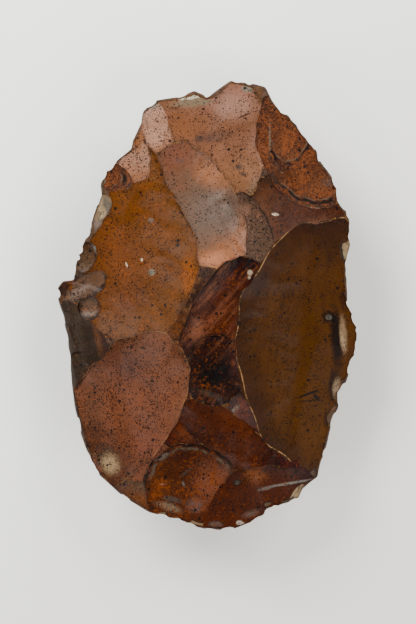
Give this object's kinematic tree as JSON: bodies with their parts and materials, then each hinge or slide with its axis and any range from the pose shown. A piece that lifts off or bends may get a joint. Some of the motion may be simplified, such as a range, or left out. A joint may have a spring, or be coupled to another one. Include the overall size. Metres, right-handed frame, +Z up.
{
  "type": "stone hand axe",
  "caption": "Almond-shaped flint hand axe, flaked over both faces to a sharp winding edge, lying on its underside.",
  "frame": {"origin": "on the ground under the middle of the stone's box", "axes": "+X to the right seen from above, +Y along the stone to its tip, +Z up out of the worked face"},
  "size_m": [0.09, 0.135, 0.0341],
  "materials": {
    "flint": "patinated flint, waxy in the scars and worn along the ridges"
  },
  "bodies": {
    "root": {"hand_axe": "flint"}
  },
  "joints": []
}
